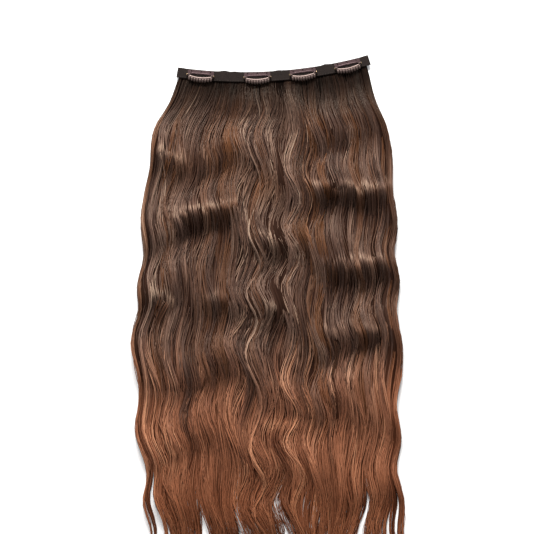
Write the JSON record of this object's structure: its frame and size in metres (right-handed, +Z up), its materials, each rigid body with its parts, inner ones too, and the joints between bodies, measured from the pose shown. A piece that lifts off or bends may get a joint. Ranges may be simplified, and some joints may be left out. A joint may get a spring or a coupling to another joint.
{
  "type": "clip in hair extension",
  "caption": "Long wavy weft of hair on a narrow sewn band with snap clips that turn open on pins, lying flat on its back.",
  "frame": {"origin": "the middle of the band's length and height, on the flat underside that the weft lies on", "axes": "+X along the band to the right as the clips face up, +Y across the band away from the hair's tips, +Z up out of the clip side"},
  "size_m": [0.3042, 0.5735, 0.0162],
  "materials": {
    "hair": "silky brown fibre, lighter and redder towards the tips",
    "ribbon": "matt woven ribbon",
    "clip_steel": "satin brown paint on spring steel",
    "pin_steel": "bare pin heads"
  },
  "bodies": {
    "weft": {"hair_weft": "hair", "band_ribbon": "ribbon", "clip_1_base": "clip_steel", "clip_1_pin_left": "pin_steel", "clip_1_pin_right": "pin_steel", "clip_2_base": "clip_steel", "clip_2_pin_left": "pin_steel", "clip_2_pin_right": "pin_steel", "clip_3_base": "clip_steel", "clip_3_pin_left": "pin_steel", "clip_3_pin_right": "pin_steel", "clip_4_base": "clip_steel", "clip_4_pin_left": "pin_steel", "clip_4_pin_right": "pin_steel"},
    "comb_1": {"clip_1_comb": "clip_steel"},
    "comb_2": {"clip_2_comb": "clip_steel"},
    "comb_3": {"clip_3_comb": "clip_steel"},
    "comb_4": {"clip_4_comb": "clip_steel"}
  },
  "joints": [
    {"name": "comb_1_snap", "type": "hinge", "parent": "weft", "child": "comb_1", "pos_m": [-0.08394, -0.00022, 0.00625], "axis": [-0.9956, 0.0939, 0], "range_deg": [0, 50]},
    {"name": "comb_2_snap", "type": "hinge", "parent": "weft", "child": "comb_2", "pos_m": [-0.01903, -0.00228, 0.00625], "axis": [-0.9995, -0.0306, 0], "range_deg": [0, 50]},
    {"name": "comb_3_snap", "type": "hinge", "parent": "weft", "child": "comb_3", "pos_m": [0.03331, 0.00196, 0.00625], "axis": [-0.9914, -0.131, 0], "range_deg": [0, 50]},
    {"name": "comb_4_snap", "type": "hinge", "parent": "weft", "child": "comb_4", "pos_m": [0.08452, 0.01135, 0.00625], "axis": [-0.9734, -0.2292, 0], "range_deg": [0, 50]}
  ]
}
